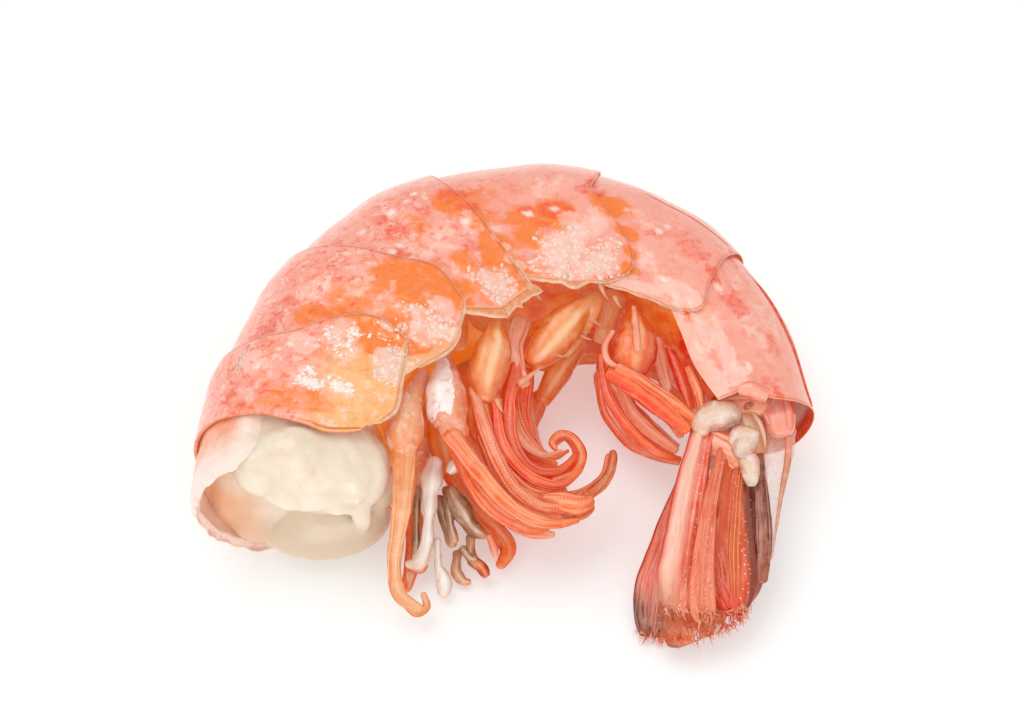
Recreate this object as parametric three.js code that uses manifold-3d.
// Raw shrimp tail, head removed and shell on, lying curled on its right side.
// Millimetres. +X runs to the right across the open front, +Y away from the open curl, +Z up.
// Six shell rings overlap like roof tiles, each rear edge over the front of the next one.
import * as THREE from 'three';
import Module from 'manifold-3d';

const wasm = await Module();
wasm.setup();
const { Manifold, Mesh } = wasm;
const V = THREE.Vector3;

// Middle of the bounding box in the drawing frame, moved to the origin at the end
const BOX_MIDDLE = new V(-0.403, -3.785, 0);

// Body stations, one at the open front and one at the rear edge of each shell ring
const AXIS = [
  [-21.6, -20.8, 8.2], [-22.0, -14.5, 8.4], [-20.1, -7.3, 8.6], [-15.2, 3.2, 8.6],
  [-6.7, 11.0, 8.3], [6.8, 13.3, 7.6], [17.3, 6.5, 6.6], [24.8, -9.5, 5.5],
];
const BACK_HEIGHT = [8.7, 8.6, 8.7, 8.8, 8.8, 8.3, 7.7, 5.5];
const BACK_BULGE = 0.2;
const LAST_BACK_BULGE = 0.8;
const HALF_WIDTH = [7.8, 8.2, 8.5, 8.5, 8.2, 7.5, 6.4, 4.8];
const MEAT_DEPTH = [10.2, 9.9, 9.6, 9.2, 8.6, 7.4, 5.3, 3.6];
const LAST = AXIS.length - 1;

// Shell rings: thickness, how far a rear lip stands out, and the share of a half girth above the flank
const SHELL = 0.35;
const LIP = 0.6;
const ARCH = 0.62;
const FLANK_NARROWING = 0.14;
const FLANK_REFERENCE = 12;

// Rear edge of each ring from the back (first) to the flank tip (last), in ring lengths
const REAR_EDGE = [
  [-0.10, -0.10, -0.10, -0.01, 0.12, 0.40, 0.52, 0.41],
  [-0.08, -0.08, -0.06, 0.00, 0.10, 0.24, 0.43, 0.30],
  [0.06, 0.06, 0.06, 0.07, 0.12, 0.21, 0.31, 0.40],
  [0.04, 0.04, 0.04, 0.04, 0.06, 0.44, 0.74, 0.62],
  [0.00, 0.00, 0.02, 0.06, 0.16, 0.30, 0.31, 0.22],
  [0.00, 0.00, 0.00, -0.02, -0.06, -0.15, -0.15, -0.15],
];
const FIRST_FRONT_EDGE = [-0.03, -0.03, -0.03, -0.06, -0.10, -0.24, -0.44, -0.45];

// Depth of each flank below the widest line, from its front corner to its rear corner
const FLANK_DEPTH = [
  [7.8, 9.6, 10.7, 10.4, 9.2],
  [9.5, 11.5, 13.0, 12.6, 11.0],
  [9.5, 11.7, 13.4, 13.4, 11.9],
  [8.5, 9.8, 10.7, 10.1, 8.0],
  [7.5, 8.2, 8.0, 6.8, 4.4],
  [5.0, 4.2, 4.4, 4.8, 4.2],
];

// Finishes: colour and roughness, none of them is metal
const FLESH = { color: 0xe9dcc3, roughness: 0.42 };
const SKIN = { color: 0xf0c9b8, roughness: 0.5 };
const CORAL = { color: 0xee9a8a, roughness: 0.3 };
const BELLY_ORANGE = { color: 0xd9793a, roughness: 0.35 };
const ORANGE = { color: 0xe8703c, roughness: 0.32 };
const GOLD = { color: 0xd98a3a, roughness: 0.3 };
const PALE = { color: 0xe9d3c3, roughness: 0.6 };
const GREY = { color: 0xa89282, roughness: 0.35 };
const WHITE = { color: 0xe8dfd2, roughness: 0.55 };
const PINK = { color: 0xe78f80, roughness: 0.4 };

// Limbs: name, finish, flatness of the section, then the route as x, y, z and half width
const SWIMMERETS = [
  ['pleopod_1_left_protopod', GOLD, 0.6,
    [-9.0, -8.4, 12.6, 0.8], [-9.9, -12.0, 13.4, 1.4], [-10.2, -15.4, 13.2, 1.8], [-10.2, -17.0, 12.6, 1.3]],
  ['pleopod_1_left_exopod', ORANGE, 0.5, [-10.2, -17.8, 12.1, 1.3], [-10.2, -20.1, 10.8, 1.2],
    [-10.6, -22.5, 8.6, 0.9], [-11.1, -25.1, 5.8, 0.75], [-10.6, -27.2, 3.8, 0.8], [-8.5, -28.5, 3.2, 0.4]],
  ['pleopod_2_left_protopod', PALE, 0.6,
    [-6.6, -5.1, 12.8, 0.7], [-6.4, -8.9, 13.0, 1.7], [-6.2, -12.0, 12.6, 1.9], [-5.3, -14.6, 12.0, 1.4]],
  ['pleopod_2_left_exopod', ORANGE, 0.5, [-4.8, -16.4, 11.4, 1.1], [-3.1, -18.9, 9.6, 1.2],
    [-0.7, -20.5, 7.6, 1.1], [2.0, -20.9, 6.2, 0.9], [3.8, -20.3, 5.8, 0.4]],
  ['pleopod_2_left_endopod', ORANGE, 0.5, [-4.0, -14.3, 9.6, 0.9], [-2.3, -17.0, 7.8, 1.0],
    [0.6, -18.6, 6.0, 1.0], [4.2, -18.7, 4.6, 1.0], [6.7, -17.7, 4.6, 0.9], [7.7, -16.3, 4.9, 0.4]],
  ['pleopod_3_left_protopod', GOLD, 0.7,
    [-1.6, -0.7, 12.4, 0.8], [-1.7, -4.0, 12.9, 1.7], [-2.4, -7.1, 12.5, 1.9], [-2.6, -9.5, 11.8, 1.2]],
  ['pleopod_3_left_exopod', ORANGE, 0.5, [-3.0, -10.6, 11.2, 1.0], [-2.3, -14.2, 10.6, 1.1],
    [-0.7, -17.1, 9.4, 1.1], [2.1, -18.9, 8.2, 0.9], [5.9, -18.3, 7.2, 0.8], [8.7, -15.8, 6.8, 0.6],
    [9.5, -12.6, 6.8, 0.4]],
  ['pleopod_3_left_endopod', ORANGE, 0.5, [-1.9, -10.4, 9.0, 0.8], [-1.4, -13.2, 7.5, 0.8],
    [0.8, -16.1, 6.5, 0.8], [3.7, -17.0, 5.9, 0.7], [5.4, -16.3, 5.8, 0.4]],
  ['pleopod_4_left_protopod', GOLD, 0.8,
    [7.3, 2.7, 11.2, 1.0], [5.5, 0.0, 11.7, 1.8], [3.7, -2.5, 11.5, 1.8], [2.1, -4.3, 11.0, 1.3]],
  ['pleopod_4_left_exopod', ORANGE, 0.5, [0.3, -5.6, 10.5, 1.0], [-0.3, -9.0, 10.2, 0.9],
    [-0.2, -12.5, 9.2, 0.9], [1.5, -15.1, 8.0, 0.8], [4.4, -15.3, 7.1, 0.8], [6.4, -12.7, 6.7, 0.6],
    [5.3, -10.4, 6.7, 0.5], [4.0, -11.5, 6.7, 0.3]],
  ['pleopod_4_left_endopod', ORANGE, 0.5,
    [1.3, -5.2, 8.4, 0.9], [1.0, -8.1, 7.2, 0.9], [1.8, -10.8, 5.9, 0.8], [3.7, -12.0, 5.2, 0.4]],
  ['pleopod_5_left_protopod', GOLD, 0.7,
    [12.1, 2.0, 10.4, 0.9], [12.2, -1.3, 11.1, 2.0], [11.8, -4.1, 10.7, 2.1], [11.8, -5.8, 10.1, 1.3]],
  ['pleopod_5_left_exopod', ORANGE, 0.5,
    [12.8, -6.8, 9.2, 0.9], [14.1, -8.1, 8.7, 0.9], [15.7, -9.7, 8.1, 0.7], [16.5, -11.2, 7.4, 0.4]],
  ['pleopod_5_left_endopod', ORANGE, 0.5,
    [10.7, -5.9, 8.2, 0.9], [11.8, -7.9, 7.2, 0.9], [13.9, -9.9, 6.4, 0.8], [16.2, -11.6, 5.8, 0.4]],
  ['pleopod_1_right_protopod', GOLD, 0.6,
    [-8.9, -9.9, 3.6, 0.9], [-9.4, -13.4, 4.0, 1.3], [-9.6, -16.2, 3.6, 1.1]],
  ['pleopod_1_right_exopod', ORANGE, 0.5,
    [-9.5, -17.0, 3.2, 1.0], [-9.4, -19.4, 2.3, 0.9], [-9.6, -22.0, 1.5, 0.8], [-10.2, -24.8, 0.9, 0.5]],
  ['pleopod_2_right_protopod', GOLD, 0.6,
    [-7.2, -5.1, 4.0, 1.0], [-6.9, -8.9, 4.4, 1.5], [-6.3, -12.0, 4.0, 1.1]],
  ['pleopod_2_right_exopod', ORANGE, 0.5, [-5.7, -13.1, 3.4, 0.9], [-3.9, -15.8, 2.6, 0.9],
    [-1.8, -17.8, 1.9, 0.9], [-0.4, -20.0, 1.4, 0.8], [-1.3, -22.2, 1.1, 0.4]],
  ['pleopod_2_right_endopod', ORANGE, 0.5,
    [-5.0, -12.2, 2.2, 0.8], [-2.4, -14.0, 1.5, 0.8], [0.8, -15.9, 1.0, 0.8], [3.9, -16.4, 0.8, 0.5]],
  ['pleopod_3_right_protopod', GOLD, 0.6,
    [-3.0, -1.5, 3.8, 1.0], [-3.2, -5.1, 4.4, 1.5], [-3.4, -7.8, 4.0, 1.1]],
  ['pleopod_3_right_exopod', ORANGE, 0.5,
    [-3.2, -9.1, 3.6, 0.9], [-1.8, -12.0, 3.4, 0.9], [1.0, -14.2, 3.0, 0.8], [4.5, -14.8, 2.6, 0.5]],
  ['pleopod_3_right_endopod', ORANGE, 0.5,
    [-2.4, -8.6, 2.2, 0.8], [-0.8, -10.8, 1.5, 0.8], [2.1, -12.6, 1.1, 0.7], [4.9, -12.7, 0.9, 0.4]],
  ['pleopod_4_right_protopod', GOLD, 0.8,
    [6.3, 2.3, 4.4, 0.9], [4.8, -0.4, 4.8, 1.3], [3.2, -3.6, 4.6, 0.9]],
  ['pleopod_4_right_exopod', ORANGE, 0.5,
    [2.4, -4.6, 4.3, 0.8], [1.6, -7.5, 3.8, 0.8], [2.4, -10.1, 3.3, 0.7], [4.5, -11.2, 2.9, 0.4]],
  ['pleopod_4_right_endopod', ORANGE, 0.5,
    [2.4, -3.9, 2.6, 0.8], [1.4, -5.9, 1.8, 0.8], [1.4, -8.2, 1.3, 0.7], [2.8, -10.2, 1.0, 0.4]],
  ['pleopod_5_right_protopod', GOLD, 0.6,
    [11.0, 3.2, 4.3, 0.8], [10.2, 0.6, 5.4, 1.5], [9.6, -1.6, 5.6, 1.2]],
  ['pleopod_5_right_exopod', ORANGE, 0.5, [9.2, -2.7, 5.3, 1.0], [9.6, -5.6, 4.7, 0.9],
    [11.6, -8.6, 4.2, 0.9], [14.4, -10.2, 3.8, 0.8], [16.6, -11.2, 3.6, 0.4]],
  ['pleopod_5_right_endopod', ORANGE, 0.5,
    [10.3, -2.6, 3.4, 0.8], [11.2, -4.6, 2.8, 0.8], [13.2, -6.6, 2.3, 0.8], [15.4, -7.6, 2.0, 0.4]],
];
const LEG_STUMPS = [
  ['leg_white', WHITE, 0.8, [-7.5, -14.7, 8.0, 0.9], [-7.8, -16.6, 7.6, 1.2], [-8.0, -19.3, 5.8, 0.75],
    [-8.2, -21.5, 4.0, 0.7], [-9.0, -22.8, 3.0, 0.8], [-10.3, -22.8, 2.6, 0.3]],
  ['leg_knob', WHITE, 0.9, [-5.2, -14.5, 8.2, 0.5], [-5.6, -15.1, 8.1, 0.8], [-6.2, -15.8, 7.7, 0.5]],
  ['leg_grey_long', GREY, 0.8,
    [-5.8, -17.0, 6.2, 0.9], [-4.9, -18.3, 5.2, 1.2], [-3.8, -19.6, 4.2, 0.9], [-2.3, -20.3, 3.5, 0.3]],
  ['leg_grey_short', GREY, 0.8,
    [-7.0, -16.9, 4.7, 0.6], [-6.4, -18.6, 3.9, 0.7], [-6.0, -19.9, 3.3, 0.7], [-5.6, -21.0, 2.8, 0.4]],
  ['leg_cream', WHITE, 0.9,
    [-7.2, -20.9, 3.2, 0.4], [-7.1, -22.5, 2.3, 0.4], [-6.9, -24.0, 1.6, 0.5], [-6.4, -25.2, 1.1, 0.7]],
  ['leg_curled', GREY, 0.8,
    [-4.0, -20.0, 2.6, 0.5], [-4.0, -21.3, 2.1, 0.6], [-3.3, -22.3, 1.7, 0.6], [-2.4, -22.2, 1.7, 0.3]],
  ['leg_foot', GREY, 0.8,
    [-5.3, -21.0, 1.4, 0.5], [-5.4, -22.5, 1.1, 0.6], [-4.7, -23.5, 0.9, 0.6], [-3.8, -23.6, 0.9, 0.3]],
];
const TAIL_FAN = [
  ['telson', PINK, 0.45, [26.3, -8.6, 6.0, 1.4], [26.1, -11.0, 6.1, 1.6], [25.8, -13.2, 6.0, 1.5],
    [25.1, -17.0, 5.6, 1.0], [24.7, -21.3, 5.2, 0.5], [24.4, -24.1, 4.8, 0.2]],
  ['uropod_base_left', WHITE, 0.7,
    [21.6, -8.9, 8.4, 1.2], [20.4, -9.6, 8.6, 1.5], [18.6, -10.6, 8.4, 1.1]],
  ['uropod_joint_left', WHITE, 0.7,
    [23.2, -11.2, 8.0, 0.9], [22.4, -12.5, 8.2, 1.3], [22.1, -14.2, 7.8, 0.8]],
  ['uropod_exopod_left', ORANGE, 0.3, [18.2, -12.1, 7.9, 1.2], [17.3, -16.3, 7.6, 1.5],
    [16.4, -21.3, 6.5, 1.8], [15.6, -26.2, 5.2, 2.0], [15.3, -29.8, 4.1, 1.2]],
  ['uropod_endopod_left', ORANGE, 0.25, [21.1, -14.4, 6.6, 1.1], [20.6, -17.4, 6.2, 1.9],
    [20.5, -22.4, 5.4, 2.5], [20.8, -26.7, 4.5, 2.3], [21.0, -29.6, 3.9, 1.1]],
  ['uropod_base_right', WHITE, 0.7,
    [21.6, -9.3, 2.2, 1.0], [20.3, -10.0, 2.6, 1.3], [18.9, -10.6, 2.7, 1.0]],
  ['uropod_exopod_right', ORANGE, 0.3,
    [17.4, -12.4, 2.6, 1.1], [15.5, -18.8, 2.3, 1.7], [13.8, -25.3, 1.6, 2.2], [13.2, -30.0, 0.9, 1.5]],
  ['uropod_endopod_right', ORANGE, 0.3,
    [22.4, -12.0, 3.2, 1.1], [22.6, -16.7, 3.1, 2.0], [22.4, -22.2, 2.5, 2.3], [21.4, -26.6, 1.8, 1.5]],
];

// Viewed side of the ribbons: the broad faces of limbs and tail blades lie square to this line
const FACING = new V(0, -0.643, 0.766);

const smooth = (from, to, x) => THREE.MathUtils.smoothstep(x, from, to);
const curve = (points) => new THREE.CatmullRomCurve3(points, false, 'catmullrom', 0.5);
const scalarCurve = (values) => curve(values.map((value) => new V(value, 0, 0)));
const at = (line, share) => line.getPoint(Math.min(Math.max(share, 0), 1));

const axisLine = curve(AXIS.map((point) => new V(...point)));
const sizeLine = curve(BACK_HEIGHT.map((height, i) => new V(height, HALF_WIDTH[i], MEAT_DEPTH[i])));
const rearLines = REAR_EDGE.map(scalarCurve);
const depthLines = FLANK_DEPTH.map(scalarCurve);
const firstFrontLine = scalarCurve(FIRST_FRONT_EDGE);

// Back height, half width and flesh depth at station t: the back swells a little within each ring
function sectionSize(t) {
  const size = at(sizeLine, t / LAST);
  size.x += (t > LAST - 1 ? LAST_BACK_BULGE : BACK_BULGE) * Math.sin(Math.PI * t) ** 2;
  return size;
}

// Centre, tailward direction, direction of the back and direction of the left side at station t
function bodyFrame(t) {
  const share = Math.min(Math.max(t / LAST, 0), 1);
  const centre = at(axisLine, share);
  const along = axisLine.getTangent(share);
  const left = new V(0, 0, 1).addScaledVector(along, -along.z).normalize();
  const back = new V().crossVectors(left, along);
  return { centre, along, left, back };
}

// A point of the body section: up along the back direction, sideways along the left direction
function bodyPoint(t, up, side) {
  const { centre, left, back } = bodyFrame(t);
  return centre.addScaledVector(back, up).addScaledVector(left, side);
}

// The body is pressed flat where it lies: nothing at offset off goes below LIP - off
function pressed(point, off) {
  point.z = Math.max(point.z, LIP - off);
  return point;
}

// Shell surface: half ellipse over the back, then a flank hanging down, p runs -1 right to 1 left
function shellPoint(t, p, depth, off) {
  const size = sectionSize(t);
  const arch = Math.min(Math.abs(p) / ARCH, 1) * Math.PI / 2;
  const fall = Math.max((Math.abs(p) - ARCH) / (1 - ARCH), 0) * depth;
  const narrowing = 1 - FLANK_NARROWING * (fall / FLANK_REFERENCE) ** 2;
  const up = fall > 0 ? -fall : (size.x + off) * Math.cos(arch);
  const side = (size.y + off) * (fall > 0 ? narrowing : Math.sin(arch)) * Math.sign(p);
  return pressed(bodyPoint(t, up, side), off);
}

// Closed body from vertices and triangles, its faces turned to point outwards
function body(points, triangles) {
  let volume = 0;
  for (const [a, b, c] of triangles) {
    volume += points[a].dot(new V().crossVectors(points[b], points[c]));
  }
  const order = volume > 0 ? triangles : triangles.map(([a, b, c]) => [a, c, b]);
  const positions = points.flatMap((point) => point.toArray());
  const geometry = new THREE.BufferGeometry();
  geometry.setAttribute('position', new THREE.Float32BufferAttribute(positions, 3));
  geometry.setIndex(order.flat());
  return geometry;
}

// Leaf between two point grids of the same size, closed along its four edges
function leaf(outer, inner) {
  const rows = outer.length;
  const columns = outer[0].length;
  const points = [...outer.flat(), ...inner.flat()];
  const shift = rows * columns;
  const triangles = [];
  for (let r = 0; r < rows - 1; r += 1) {
    for (let c = 0; c < columns - 1; c += 1) {
      const a = r * columns + c;
      const d = a + columns;
      triangles.push([a, a + 1, d + 1], [a, d + 1, d]);
      triangles.push([a + shift, d + 1 + shift, a + 1 + shift]);
      triangles.push([a + shift, d + shift, d + 1 + shift]);
    }
  }
  const rim = [];
  for (let c = 0; c < columns - 1; c += 1) rim.push(c);
  for (let r = 0; r < rows - 1; r += 1) rim.push(r * columns + columns - 1);
  for (let c = columns - 1; c > 0; c -= 1) rim.push((rows - 1) * columns + c);
  for (let r = rows - 1; r > 0; r -= 1) rim.push(r * columns);
  rim.forEach((a, i) => {
    const b = rim[(i + 1) % rim.length];
    triangles.push([a, a + shift, b + shift], [a, b + shift, b]);
  });
  return body(points, triangles);
}

// Closed body through rings of equal point count, each end closed by a flat fan
function loft(rings) {
  const n = rings[0].length;
  const points = rings.flat();
  const triangles = [];
  for (let r = 0; r < rings.length - 1; r += 1) {
    for (let i = 0; i < n; i += 1) {
      const a = r * n + i;
      const b = r * n + (i + 1) % n;
      triangles.push([a, b, b + n], [a, b + n, a + n]);
    }
  }
  const last = (rings.length - 1) * n;
  for (let i = 1; i < n - 1; i += 1) {
    triangles.push([0, i + 1, i], [last, last + i, last + i + 1]);
  }
  return body(points, triangles);
}

const grid = (rows, columns, point) => Array.from({ length: rows + 1 }, (_, r) => (
  Array.from({ length: columns + 1 }, (__, c) => point(r / rows, c / columns))));

// Girth positions: even steps over the arch, even steps down each flank
const ARCH_STEPS = 7;
const FLANK_STEPS = 4;
function girthPosition(share) {
  const steps = ARCH_STEPS + FLANK_STEPS;
  const step = (share * 2 - 1) * steps;
  const size = Math.abs(step);
  const over = Math.max(size - ARCH_STEPS, 0) / FLANK_STEPS;
  return Math.sign(step) * (Math.min(size / ARCH_STEPS, 1) * ARCH + over * (1 - ARCH));
}

// How far each ring slips under the one before, more over the back than on the flanks
const ringOverlap = (girth) => 0.2 - 0.1 * smooth(0.45, 0.75, girth);

// Stations of the rows of ring i (1 is the first) at one girth position: front edge, three steps to
// where the ring before still covers it, the foot and the top of the rear lip, and the rear edge
const LIP_ROW = 4;
function ringRows(i, girth) {
  const front = i === 1 ? 1 + at(firstFrontLine, girth).x : i - ringOverlap(girth);
  const rear = Math.min(i + 1 + at(rearLines[i - 1], girth).x, LAST);
  const cover = i === 1 ? 0 : at(rearLines[i - 2], girth).x;
  const foot = i + Math.max(cover + 0.03, 0.45);
  const top = i + 0.98 - ringOverlap(girth);
  if (i === LAST - 1) return [0, 1, 2, 3, 4, 5, 6].map((row) => front + (rear - front) * row / 6);
  return [front, (2 * front + foot) / 3, (front + 2 * foot) / 3, foot, top, (top + rear) / 2, rear];
}

function shellRing(i, grow) {
  const face = (inset) => grid(6, 2 * (ARCH_STEPS + FLANK_STEPS), (u, share) => {
    const p = girthPosition(share);
    const row = Math.round(u * 6);
    const rows = ringRows(i, Math.abs(p));
    const t = rows[row] + (row === 0 ? -0.1 * grow : 0);
    const depth = at(depthLines[i - 1], (t - rows[0]) / (rows[6] - rows[0])).x;
    const lip = i < LAST - 1 && row >= LIP_ROW ? LIP : 0;
    return shellPoint(t, p, depth + grow, lip + grow - inset * (SHELL + 2 * grow));
  });
  return leaf(face(0), face(1));
}

// Skin collar in front of the first ring: its rim leans back towards the left flank
const COLLAR = {
  rear: 1.3, front: 0.12, leftFront: 0.5, tuck: 0.5, thickness: 0.5, rimThickness: 0.95,
};
function collar(grow) {
  const face = (inset) => grid(5, 14, (u, share) => {
    const p = (share * 2 - 1) * (ARCH + 0.1 * grow);
    const lean = (COLLAR.leftFront - COLLAR.front) * smooth(0.45, 1, p / ARCH);
    const front = COLLAR.front + lean - grow * 0.2;
    const t = Math.max(front + (COLLAR.rear + grow * 0.2 - front) * u, 0);
    const off = -COLLAR.tuck * smooth(0.35, 0.75, t);
    const thickness = THREE.MathUtils.lerp(COLLAR.rimThickness, COLLAR.thickness, smooth(0, 0.5, u));
    return shellPoint(t, p, 4, off + grow - inset * (thickness + 2 * grow));
  });
  return leaf(face(0), face(1));
}

// Half superellipse under the body, angle 0 at the right side and 180 at the left
const ROUNDNESS = 0.6;
const power = (value) => Math.sign(value) * Math.abs(value) ** ROUNDNESS;
function undersidePoint(t, angle, off) {
  const size = sectionSize(t);
  const side = -(size.y + off) * power(Math.cos(angle));
  return bodyPoint(t, -(size.z + off) * power(Math.sin(angle)), side);
}

// Flesh inside the shell: a tube drawn in from the shell, most at its two ends
const MEAT = {
  front: 0.75, rear: 6.9, rings: 20, sides: 20, inset: -0.8, frontInset: -1.4, rearInset: -1.7,
};
function meatTube() {
  const rings = Array.from({ length: MEAT.rings + 1 }, (_, r) => {
    const t = MEAT.front + (MEAT.rear - MEAT.front) * r / MEAT.rings;
    const off = MEAT.inset + (MEAT.frontInset - MEAT.inset) * (1 - smooth(1.35, 1.7, t))
      + (MEAT.rearInset - MEAT.inset) * smooth(6.3, MEAT.rear, t);
    const size = sectionSize(t);
    return Array.from({ length: MEAT.sides }, (__, i) => {
      const angle = i / MEAT.sides * 2 * Math.PI;
      if (angle <= Math.PI) return pressed(undersidePoint(t, angle, off), off);
      const side = -(size.y + off) * Math.cos(angle);
      return pressed(bodyPoint(t, -(size.x + off) * Math.sin(angle), side), off);
    });
  });
  return loft(rings);
}

// Flesh bulging out of the open front: centre and radii of each lump
const MEAT_LUMPS = [
  { name: 'upper lobe', centre: [-18.6, -17.2, 11.2], radii: [7.0, 5.2, 4.0] },
  { name: 'lower lobe', centre: [-18.4, -17.6, 3.9], radii: [6.8, 4.9, 3.9] },
  { name: 'side lobe', centre: [-13.2, -17.6, 10.4], radii: [1.9, 3.4, 2.9] },
  { name: 'drip', centre: [-14.7, -21.2, 7.2], radii: [0.9, 0.9, 2.0] },
];
function lump({ centre, radii }) {
  const geometry = new THREE.SphereGeometry(1, 16, 10);
  geometry.scale(...radii);
  geometry.translate(...centre);
  const { position } = geometry.attributes;
  const points = new Map();
  const order = [];
  for (let i = 0; i < position.count; i += 1) {
    const point = new V().fromBufferAttribute(position, i);
    const key = point.toArray().map((value) => value.toFixed(3)).join(' ');
    if (!points.has(key)) points.set(key, { index: points.size, point });
    order.push(points.get(key).index);
  }
  const index = geometry.index.array;
  const triangles = [];
  for (let i = 0; i < index.length; i += 3) {
    const [a, b, c] = [order[index[i]], order[index[i + 1]], order[index[i + 2]]];
    if (a !== b && b !== c && c !== a) triangles.push([a, b, c]);
  }
  return body([...points.values()].map((entry) => entry.point), triangles);
}

const toManifold = (geometry) => new Manifold(new Mesh({
  numProp: 3,
  vertProperties: geometry.attributes.position.array,
  triVerts: Uint32Array.from(geometry.index.array),
}));

function fromManifold(solid) {
  const mesh = solid.getMesh();
  const geometry = new THREE.BufferGeometry();
  geometry.setAttribute('position', new THREE.BufferAttribute(mesh.vertProperties, 3));
  geometry.setIndex(new THREE.BufferAttribute(mesh.triVerts, 1));
  return geometry;
}

// The flesh: one muscle through the whole tail, lumps at the front, hollowed where the skins lie
const SKIN_GAP = 0.25;
function meat() {
  let solid = toManifold(meatTube());
  MEAT_LUMPS.forEach((entry) => {
    solid = solid.add(toManifold(lump(entry)));
  });
  solid = solid.subtract(toManifold(collar(SKIN_GAP)));
  return fromManifold(solid.subtract(toManifold(shellRing(1, SKIN_GAP))));
}

// Belly skin below the flesh, folded across once in every ring
const BELLY = {
  front: 1.35, rear: 6.75, rows: 24, columns: 8, reach: 0.56, inset: -0.3, thickness: 0.3, fold: 0.35,
  floor: 1.2,
};
function bellySkin() {
  const face = (inset) => grid(BELLY.rows, BELLY.columns, (u, share) => {
    const t = BELLY.front + (BELLY.rear - BELLY.front) * u;
    const angle = Math.PI / 2 + (share - 0.5) * Math.PI * BELLY.reach;
    const fold = inset ? 0 : BELLY.fold * (0.5 + 0.5 * Math.cos(2 * Math.PI * t));
    const point = undersidePoint(t, angle, BELLY.inset + (inset ? 0 : BELLY.thickness) + fold);
    point.z = Math.max(point.z, BELLY.floor + inset * BELLY.thickness);
    return point;
  });
  return leaf(face(0), face(1));
}

// Limb or blade: flattened tube along a route, flat ends
function limb(route, flatness) {
  const path = curve(route.map(([x, y, z]) => new V(x, y, z)));
  const width = scalarCurve(route.map((entry) => entry[3]));
  const count = 2 * route.length - 1;
  const sides = 8;
  const rings = Array.from({ length: count + 1 }, (_, r) => {
    const centre = at(path, r / count);
    const along = path.getTangent(r / count);
    const broad = new V().crossVectors(FACING, along).normalize();
    const thin = new V().crossVectors(along, broad);
    const half = at(width, r / count).x;
    return Array.from({ length: sides }, (__, i) => {
      const angle = (i + 0.5) / sides * 2 * Math.PI;
      const point = centre.clone().addScaledVector(broad, half * Math.cos(angle));
      point.addScaledVector(thin, half * flatness * Math.sin(angle));
      point.z = Math.max(point.z, 0);
      return point;
    });
  });
  return loft(rings);
}

const group = new THREE.Group();
function place(name, geometry, { color, roughness }) {
  geometry.translate(-BOX_MIDDLE.x, -BOX_MIDDLE.y, -BOX_MIDDLE.z);
  geometry.computeVertexNormals();
  const material = new THREE.MeshStandardMaterial({ color, roughness, metalness: 0 });
  const mesh = new THREE.Mesh(geometry, material);
  mesh.name = name;
  group.add(mesh);
}

place('meat', meat(), FLESH);
place('collar', collar(0), SKIN);
for (let i = 1; i < LAST; i += 1) {
  place(`shell_ring_${i}`, shellRing(i, 0), CORAL);
}
place('belly_skin', bellySkin(), BELLY_ORANGE);
[...SWIMMERETS, ...LEG_STUMPS, ...TAIL_FAN].forEach(([name, finish, flatness, ...route]) => {
  place(name, limb(route, flatness), finish);
});

export default group;
